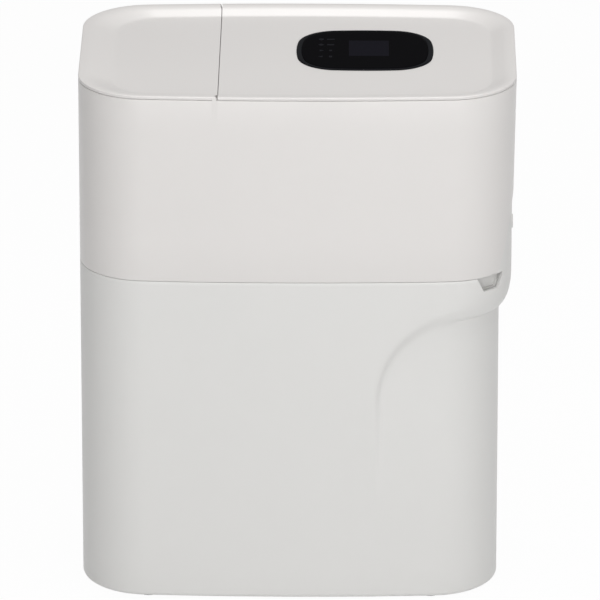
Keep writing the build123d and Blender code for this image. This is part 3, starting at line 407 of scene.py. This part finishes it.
def wound(name, colour, roughness):
    """Wound fibre under lacquer: shallow diagonal bands in the surface, and a clear gloss over them."""
    material = moulded(name, colour, roughness, grain=500, relief=0.05, mottle=0.1, coat=0.6)
    nodes, links = material.node_tree.nodes, material.node_tree.links
    place = nodes["Texture Coordinate"]
    bands = nodes.new("ShaderNodeTexWave")
    bands.bands_direction = "DIAGONAL"
    bands.inputs["Scale"].default_value = 60
    bands.inputs["Distortion"].default_value = 1.5
    links.new(place.outputs["Object"], bands.inputs["Vector"])
    weave = nodes.new("ShaderNodeBump")
    weave.inputs["Strength"].default_value = 0.25
    weave.inputs["Distance"].default_value = 0.0006
    links.new(bands.outputs["Fac"], weave.inputs["Height"])
    links.new(nodes["Bump"].outputs["Normal"], weave.inputs["Normal"])
    links.new(weave.outputs["Normal"], nodes["Principled BSDF"].inputs["Normal"])
    return material


fibre = wound("fibre", (0.012, 0.022, 0.045), 0.35)
dress(fibre, "resin_tank")
dress(black_moulding, "tank_boot")
dress(amber_resin, "resin_bed")
dress(milky_plastic, "riser_tube")
dress(acetal, "lower_distributor", "upper_distributor")

# Valve head: a black glass-filled body, clamped to the tank's neck with a plated ring. Its motor stands on
# a plate above and turns the blue valve disc through a pinion and a gear of acetal.
blue_moulding = moulded("blue_moulding", (0.02, 0.065, 0.22), 0.4, grain=500, relief=0.05, mottle=0.06)


def metal(name, colour, roughness, grain=260):
    """Plated or brushed metal: a fine grain with a slight change of gloss."""
    material = moulded(name, colour, roughness, grain=grain, relief=0.08, mottle=0.05)
    material.node_tree.nodes["Principled BSDF"].inputs["Metallic"].default_value = 1.0
    return material


plated_steel = metal("plated_steel", (0.62, 0.61, 0.60), 0.28)
dress(black_moulding, "valve_body", "mechanism_plate", "drain_elbow")
dress(plated_steel, "clamp_ring", "mechanism_screws", "drive_motor")
dress(blue_moulding, "valve_rotor", "injector")
dress(acetal, "drive_gear", "motor_pinion")

# Meter and connectors: the two black pipe ends behind the window, held with plated spring clips, and the
# blue turbine that counts the water, which spins in an acetal cage.
dress(black_moulding, "inlet_connector", "outlet_connector")
dress(plated_steel, "connector_clips")
dress(blue_moulding, "turbine")
dress(acetal, "turbine_cage")

# Brine line: a short run of milky polyethylene tube from the valve to the well, held at the valve by an
# acetal nut.
milky_tube = moulded("milky_tube", (0.58, 0.60, 0.60), 0.3, grain=300, relief=0.03, coat=0.3)
dress(milky_tube, "brine_line")
dress(acetal, "brine_nut")

# Upper shroud: one warm white moulding that drops over the tub's tongue. Its plumbing end leans in towards
# the seam and is open round the end panel, and a deck inside its rim leaves the salt mouth and the service
# mouth.
warm_white = moulded("warm_white", (0.735, 0.715, 0.70), 0.30, grain=700, relief=0.02)
shroud_low, shroud_top, shroud_wall, shroud_end_x = 0.3963, 0.616, 0.0035, 0.250
shroud_roll, shroud_rows, shroud_row = 0.0011, 4, 0.045
shroud_arch_gap, shroud_arch_x = 0.0003, 0.17
deck_z, deck_thick, deck_reach, mouth_reach, mouth_corner = 0.598, 0.003, 0.9, 0.138, 0.024
mouth_low, mouth_high = 0.01, 0.03
salt_mouth_x, service_mouth_x = (-0.232, -0.105), (-0.075, 0.232)


def shroud_point(along, z, inset=0.0):
    share = (z - shroud_low) / (shroud_top - shroud_low)
    high_x = tub_seam_x + (shroud_end_x - tub_seam_x) * share - inset
    return outline_point(
        along, z, tub_low_x + inset, high_x, tub_reach_y - inset, tub_bow, tub_corner - inset
    )


shroud = bmesh.new()
rim = start_ring(shroud, outline_steps, lambda a: shroud_point(a, shroud_low, shroud_wall))
levels = [shroud_low + shroud_row * step for step in range(shroud_rows + 1)]
profile = [(shroud_roll * 0.6, shroud_low), (shroud_roll * 0.2, shroud_low + shroud_roll * 0.2)]
profile += [(0.0, shroud_low + shroud_roll)] + [(0.0, level) for level in levels[1:]]
profile += [(0.0, shroud_top - shroud_roll), (shroud_roll * 0.13, shroud_top - shroud_roll * 0.5)]
profile += [(shroud_roll * 0.5, shroud_top - shroud_roll * 0.13), (shroud_roll, shroud_top)]
profile += [(shroud_wall, shroud_top)] + [(shroud_wall, level) for level in reversed(levels)]
for inset, z in profile:
    rim = next_ring(shroud, rim, lambda a, z=z, i=inset: shroud_point(a, z, i))
shroud_skin = put("shroud_skin", shroud, warm_white, "shroud", sharp=50)
cut_with(shroud_skin, arch_prism(shroud_arch_gap, shroud_arch_x))

deck = bmesh.new()
start_ring(deck, outline_steps, lambda a: shroud_point(a, deck_z + deck_thick, shroud_wall * deck_reach))
bmesh.ops.edgeloop_fill(deck, edges=deck.edges)
if deck.faces[:] and deck.faces[:][0].normal.z < 0:
    bmesh.ops.reverse_faces(deck, faces=deck.faces)
shroud_deck = put("shroud_deck", deck, warm_white, "shroud")
give_wall(shroud_deck, deck_thick)
for reach_x in (salt_mouth_x, service_mouth_x):
    mouth = [(x, y, deck_z - mouth_low) for x, y in four_corners(reach_x, (-mouth_reach, mouth_reach))]
    cut_with(shroud_deck, rounded_slab(mouth, mouth_corner, (0, 0, mouth_high)))
for piece in (shroud_skin, shroud_deck):
    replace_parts(piece, "upper_shroud")

# Hinge lugs: an eye at each end of the split, moulded on the inside of the shroud's wall, for the lid's
# steel pin. The wall's top edge is hollowed there for the lid's knuckles, which show as a dark dot at the
# end of the split.
hinge_x, hinge_z, hinge_drop, eye_radius, stem_gap = -0.0936, 0.6168, 0.0032, 0.0022, 0.0004
lug_low, lug_out, lug_root, lug_edge = 0.1581, 0.1611, 0.014, 0.0003
swing_radius, swing_low, swing_out = 0.0035, 0.158, 0.170


def box_shape(size, middle, roundness=0.0):
    """A block of a size about a middle, with its edges rounded."""
    shape = bmesh.new()
    bmesh.ops.create_cube(shape, size=1)
    bmesh.ops.scale(shape, vec=size, verts=shape.verts)
    if roundness:
        bmesh.ops.bevel(
            shape,
            geom=shape.edges,
            offset=roundness,
            segments=3,
            profile=0.5,
            affect="EDGES",
            material=-1,
        )
    bmesh.ops.translate(shape, vec=middle, verts=shape.verts)
    return shape


def hinge_bar(shape, radius, side, low, out):
    """Adds a bar about the hinge's axis to a shape, between two distances from the middle."""
    low_y, high_y = sorted((side * low, side * out))
    bar = bmesh.ops.create_cone(
        shape, cap_ends=True, segments=48, radius1=radius, radius2=radius, depth=high_y - low_y
    )
    for vert in bar["verts"]:
        x, y, z = vert.co
        vert.co = (hinge_x + x, (low_y + high_y) / 2 + z, hinge_z + y)


for side, name in ((-1, "front_hinge_lug"), (1, "back_hinge_lug")):
    swing = bmesh.new()
    hinge_bar(swing, swing_radius, side, swing_low, swing_out)
    cut_with(shroud_skin, swing)
    stem_size = (eye_radius - stem_gap, lug_out - lug_low, lug_root)
    stem_x, stem_y = hinge_x - (eye_radius + stem_gap) / 2, side * (lug_low + lug_out) / 2
    stem_middle = (stem_x, stem_y, hinge_z - lug_root / 2)
    lug = box_shape(stem_size, stem_middle, lug_edge)
    hinge_bar(lug, eye_radius, side, lug_low, lug_out)
    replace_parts(put(name, lug, warm_white, "shroud"), "upper_shroud")
dress(plated_steel, "hinge_pins")

# Dished top: the salt lid and the control cover are mouldings of one form, a rounded rim round a shallow
# dish, parted by a straight split. The lid turns with its knuckles on the pins, and the cover lifts off.
top_z, band_low, rim_roll, rim_steps, rim_land, rim_flat = 0.620, 0.6163, 0.0011, 4, 0.005, 0.72
band_edge = ((0.0, 0.0008), (0.0003, 0.0002), (0.0008, 0.0))
dish_depth, lid_slope, front_slope, end_slope, dish_corner = 0.008, 0.036, 0.022, 0.025, 0.052
dish_start, dish_end, dish_steps, dish_spare = 0.45, 0.16, 20, 0.004
sheet, split_x, split_gap = 0.003, -0.090, 0.0008
lid_chamfers = (radians(22.5), radians(45), radians(67.5))
knuckle_radius, knuckle_places = 0.0025, ((0.15425, 0.15775), (0.16145, 0.1636))


def rim_point(along, z, inset):
    return outline_point(
        along, z, tub_low_x + inset, shroud_end_x - inset, tub_reach_y - inset, tub_bow, tub_corner - inset
    )


def floor_point(along, z, inset):
    low_x, high_x = tub_low_x + rim_land + lid_slope, shroud_end_x - rim_land - end_slope
    reach_y = tub_reach_y - rim_land - front_slope - inset
    return outline_point(along, z, low_x + inset, high_x - inset, reach_y, tub_bow, dish_corner - inset)


def dish_share(share):
    """How deep the dish is at a share of its slope, which starts softly and turns tightly into the floor."""
    fall = 1 / (1 - dish_start / 2 - dish_end / 2)
    if share < dish_start:
        return fall * share * share / (2 * dish_start)
    if share < 1 - dish_end:
        return fall * (share - dish_start / 2)
    return 1 - fall * (1 - share) ** 2 / (2 * dish_end)


def slope_point(along, z, share):
    """A point of the dish's slope, between the rim and the dish's floor."""
    return rim_point(along, z, rim_land * rim_flat).lerp(floor_point(along, z, 0.0), share)


def dished_skin():
    """The whole top as one skin, from under the rim's edge to the middle of the dish."""
    shape = bmesh.new()
    (first_rise, first_inset), *others = band_edge
    ring = start_ring(shape, outline_steps, lambda a: rim_point(a, band_low + first_rise, first_inset))
    for rise, inset in others:
        ring = next_ring(shape, ring, lambda a, z=band_low + rise, i=inset: rim_point(a, z, i))
    for step in range(rim_steps + 1):
        turn = step / rim_steps * pi / 2
        inset, z = rim_roll * (1 - cos(turn)), top_z - rim_roll * (1 - sin(turn))
        ring = next_ring(shape, ring, lambda a, z=z, i=inset: rim_point(a, z, i))
    for step in range(dish_steps + 1):
        share = step / dish_steps
        z = top_z - dish_depth * dish_share(share)
        ring = next_ring(shape, ring, lambda a, z=z, s=share: slope_point(a, z, s))
    ring = next_ring(shape, ring, lambda a: floor_point(a, top_z - dish_depth, dish_spare))
    bmesh.ops.edgeloop_fill(shape, edges=ring)
    return shape


def cut_past(piece, place, normal):
    """Cuts away what lies past a plane and closes the cut."""
    shape = bmesh.new()
    shape.from_mesh(piece.data)
    everything = shape.verts[:] + shape.edges[:] + shape.faces[:]
    cut = bmesh.ops.bisect_plane(
        shape, geom=everything, dist=1e-6, plane_co=place, plane_no=normal, clear_outer=True
    )
    edges = [item for item in cut["geom_cut"] if isinstance(item, bmesh.types.BMEdge)]
    bmesh.ops.holes_fill(shape, edges=edges, sides=0)
    shape.to_mesh(piece.data)
    shape.free()
    piece.data.shade_smooth()
    piece.data.set_sharp_from_angle(angle=radians(35))


lid_skin = put("lid_skin", dished_skin(), warm_white, "lid", sharp=50)
give_wall(lid_skin, sheet)
cut_past(lid_skin, (split_x - split_gap / 2, 0, 0), (1, 0, 0))
for turn in lid_chamfers:
    edge_place = (hinge_x + hinge_drop * cos(turn), 0, hinge_z + hinge_drop * sin(turn))
    cut_past(lid_skin, edge_place, (cos(turn), 0, sin(turn)))
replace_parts(lid_skin, "salt_lid")
for side, name in ((-1, "front_knuckles"), (1, "back_knuckles")):
    knuckles = bmesh.new()
    for low, out in knuckle_places:
        hinge_bar(knuckles, knuckle_radius, side, low, out)
    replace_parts(put(name, knuckles, warm_white, "lid"), "salt_lid")
cover_skin = put("cover_skin", dished_skin(), warm_white, "cover", sharp=50)
give_wall(cover_skin, sheet)
cut_past(cover_skin, (split_x + split_gap / 2, 0, 0), (-1, 0, 0))
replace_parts(cover_skin, "control_cover")

# Touch panel: a satin dark frame pressed into a hole in the cover, with a black glass glued in its rebate.
# Both bulge a little at their ends.
panel_x, panel_y, panel_half, panel_reach = 0.077, 0.020, 0.079, 0.069
panel_bow, panel_end_bow, panel_corner = 0.005, 0.009, 0.046
frame_land, frame_top, frame_foot, glass_seat = 0.6119, 0.6135, 0.6065, 0.6123
frame_steps, hole_steps, hole_inset, hole_low, hole_high = 240, 160, 0.004, 0.600, 0.03
frame_profile = (
    (0.0043, 0.0043, frame_land),
    (0.0002, 0.0002, frame_land),
    (0.0, 0.0, 0.6122),
    (0.0002, 0.0002, 0.6127),
    (0.0008, 0.0006, frame_top - 0.0002),
    (0.0016, 0.0010, frame_top),
    (0.0056, 0.0026, frame_top - 0.0001),
    (0.0060, 0.0030, frame_top - 0.0005),
    (0.0060, 0.0030, glass_seat),
    (0.0083, 0.0083, glass_seat),
    (0.0083, 0.0083, frame_foot),
    (0.0043, 0.0043, frame_foot),
)
glass_profile = (
    (0.0061, 0.0031, frame_top - 0.0005),
    (0.0064, 0.0034, frame_top - 0.0001),
    (0.0072, 0.0042, frame_top),
    (0.0110, 0.0080, frame_top),
)


def dark(name, colour, roughness, shine, grain=900, relief=0.01, mottle=0.08):
    """A near black plastic or glass that reflects little of the studio."""
    material = moulded(name, colour, roughness, grain=grain, relief=relief, mottle=mottle)
    material.node_tree.nodes["Principled BSDF"].inputs["Specular IOR Level"].default_value = shine
    return material


def panel_point(along, z, inset_x, inset_y):
    low_x, high_x = panel_x - panel_half + inset_x, panel_x + panel_half - inset_x
    reach, corner = panel_reach - inset_y, panel_corner - inset_x
    return outline_point(along, z, low_x, high_x, reach, panel_bow, corner, panel_y, panel_end_bow)


bezel_grey = dark("bezel_grey", (0.0110, 0.0115, 0.0135), 0.34, 0.012, relief=0.06)
glass_black = dark("glass_black", (0.0030, 0.0029, 0.0036), 0.16, 0.003, grain=60, relief=0.004, mottle=0.1)
opening = bmesh.new()
rim = start_ring(opening, hole_steps, lambda a: panel_point(a, hole_low, hole_inset, hole_inset))
bmesh.ops.edgeloop_fill(opening, edges=rim)
push_out(opening, (0, 0, hole_high))
cut_with(cover_skin, opening)

bezel = bmesh.new()
rim = start_ring(bezel, frame_steps, lambda a: panel_point(a, frame_foot, 0.0043, 0.0043))
for inset_x, inset_y, z in frame_profile:
    rim = next_ring(bezel, rim, lambda a, z=z, x=inset_x, y=inset_y: panel_point(a, z, x, y))
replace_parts(put("bezel_frame", bezel, bezel_grey, "cover", sharp=40), "panel_bezel")

glass = bmesh.new()
first = start_ring(glass, frame_steps, lambda a: panel_point(a, glass_seat, 0.0061, 0.0031))
rim = first
for inset_x, inset_y, z in glass_profile:
    rim = next_ring(glass, rim, lambda a, z=z, x=inset_x, y=inset_y: panel_point(a, z, x, y))
bmesh.ops.edgeloop_fill(glass, edges=rim)
bmesh.ops.edgeloop_fill(glass, edges=first)
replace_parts(put("glass_face", glass, glass_black, "cover", sharp=60), "panel_glass")

# Screen and touch keys: the display's window in the print behind the glass, and four plain keys with their
# dashes printed beside it. The display and the touch board hang under the glass.
screen_grey = dark("screen_grey", (0.0075, 0.0073, 0.0110), 0.22, 0.004)
print_grey = dark("print_grey", (0.012, 0.012, 0.015), 0.4, 0.01, mottle=0.1)
board_green = moulded(
    "board_green", (0.012, 0.075, 0.03), 0.35, grain=300, relief=0.1, mottle=0.15, coat=0.4
)
screen_x, screen_y, screen_corner, print_lift = (0.0585, 0.1045), (-0.0015, 0.0515), 0.001, 0.00004
key_x, dash_x = 0.0265, 0.0375
keys = (
    (0.056, 24, 0.0030, 1, (0.0085, 0.003)),
    (0.037, 4, 0.0036, 1, (0.0080, 0.004)),
    (0.017, 3, 0.0034, 1, (0.0030, 0.005)),
    (-0.004, 3, 0.0034, -1, (0.0035, 0.006)),
)
screen = [(x, y, frame_top) for x, y in four_corners(screen_x, screen_y)]
window = rounded_slab(screen, screen_corner, (0, 0, print_lift), segments=4)
put("display_window", window, screen_grey, "cover")
for index, (key_y, corners, radius, flip, dash_size) in enumerate(keys):
    key = bmesh.new()
    bmesh.ops.create_circle(key, cap_ends=True, segments=corners, radius=radius)
    push_out(key, (0, 0, print_lift))
    for vert in key.verts:
        vert.co = (key_x + flip * vert.co.y, key_y - flip * vert.co.x, vert.co.z + frame_top)
    put(f"touch_key_{index + 1}", key, print_grey, "cover")
    dash = box_shape((*dash_size, 2 * print_lift), (dash_x, key_y, frame_top))
    put(f"key_dash_{index + 1}", dash, print_grey, "cover")
dress(screen_grey, "display_module")
dress(board_green, "touch_board")

# Floor: a pale seamless paper sweep. The camera sees it nearly as white as the background, and it keeps a
# faint shadow under the cabinet.
floor_size, paper_grey, paper_glow = 30, 0.82, 0.97
floor_mesh = bmesh.new()
bmesh.ops.create_grid(floor_mesh, x_segments=1, y_segments=1, size=floor_size)
floor_data = bpy.data.meshes.new("floor")
floor_mesh.to_mesh(floor_data)
floor_mesh.free()
floor = bpy.data.objects.new("floor", floor_data)
bpy.context.scene.collection.objects.link(floor)
paper = bpy.data.materials.new("paper")
paper.use_nodes = True
nodes, links = paper.node_tree.nodes, paper.node_tree.links
nodes.remove(nodes["Principled BSDF"])


def worked_out(operation, first, second):
    """A value that a node works out from a ray's kind and another ray's kind, or from a share."""
    node = nodes.new("ShaderNodeMath")
    node.operation = operation
    node.use_clamp = operation == "ADD"
    links.new(first, node.inputs[0])
    if isinstance(second, float):
        node.inputs[1].default_value = second
    else:
        links.new(second, node.inputs[1])
    return node.outputs["Value"]


matt = nodes.new("ShaderNodeBsdfDiffuse")
matt.inputs["Color"].default_value = (paper_grey, paper_grey, paper_grey, 1)
shine = nodes.new("ShaderNodeEmission")
shine.inputs["Strength"].default_value = 1.0
mix = nodes.new("ShaderNodeMixShader")
rays = nodes.new("ShaderNodeLightPath").outputs
seen = worked_out("ADD", rays["Is Camera Ray"], rays["Is Glossy Ray"])
seen = worked_out("ADD", seen, rays["Is Transmission Ray"])
links.new(worked_out("MULTIPLY", seen, paper_glow), mix.inputs["Fac"])
links.new(matt.outputs["BSDF"], mix.inputs[1])
links.new(shine.outputs["Emission"], mix.inputs[2])
links.new(mix.outputs["Shader"], nodes["Material Output"].inputs["Surface"])
floor_data.materials.append(paper)

# Light: a soft even studio. A broad lamp stands over the front, a smaller one hangs overhead, and a long
# strip high behind gives the rim its highlight.
world_tint, world_strength, background_strength = (1, 0.995, 0.99, 1), 0.30, 1.0
lamps = (
    ("front", 2.8, 1.8, 54, (0.45, -3.2, 1.4), (0, 0, 0.3)),
    ("overhead", 1.8, 0.9, 15, (0.2, -0.60, 2.3), (0, 0, 0.6)),
    ("behind", 1.3, 0.3, 16, (0.05, 0.85, 2.9), (0, 0, 0.62)),
)
world = bpy.data.worlds.new("studio")
world.use_nodes = True
nodes, links = world.node_tree.nodes, world.node_tree.links
soft = nodes["Background"]
soft.inputs["Color"].default_value = world_tint
soft.inputs["Strength"].default_value = world_strength
white = nodes.new("ShaderNodeBackground")
white.inputs["Strength"].default_value = background_strength
path = nodes.new("ShaderNodeLightPath")
mix = nodes.new("ShaderNodeMixShader")
links.new(path.outputs["Is Camera Ray"], mix.inputs["Fac"])
links.new(soft.outputs["Background"], mix.inputs[1])
links.new(white.outputs["Background"], mix.inputs[2])
links.new(mix.outputs["Shader"], nodes["World Output"].inputs["Surface"])
bpy.context.scene.world = world
for name, size_x, size_y, power, place, aim in lamps:
    light = bpy.data.lights.new(name, "AREA")
    light.shape = "RECTANGLE"
    light.size, light.size_y = size_x, size_y
    light.energy = power
    holder = bpy.data.objects.new(name, light)
    holder.location = place
    holder.rotation_euler = (Vector(aim) - Vector(place)).to_track_quat("-Z", "Y").to_euler()
    bpy.context.scene.collection.objects.link(holder)

# Camera: it stands far off and high in front of the long side, and looks down at it through a long lens.
# Its place and pitch are those that fit the cabinet's corners, seam and split.
camera_distance, camera_height, camera_side = 8.441, 3.574, 0.0023
camera_pitch, camera_turn = radians(21.13), radians(0.45)
lens_pixels, frame_pixels, sensor_width, clip_end = 7776, 600, 36, 100
lens = bpy.data.cameras.new("camera")
lens.sensor_width = sensor_width
lens.lens = lens_pixels / frame_pixels * sensor_width
lens.clip_end = clip_end
camera = bpy.data.objects.new("camera", lens)
camera.location = (
    camera_distance * sin(camera_turn) + camera_side * cos(camera_turn),
    camera_side * sin(camera_turn) - camera_distance * cos(camera_turn),
    camera_height,
)
camera.rotation_euler = (pi / 2 - camera_pitch, 0, camera_turn)
bpy.context.scene.collection.objects.link(camera)
bpy.context.scene.camera = camera
bpy.context.scene.view_settings.view_transform = "Standard"
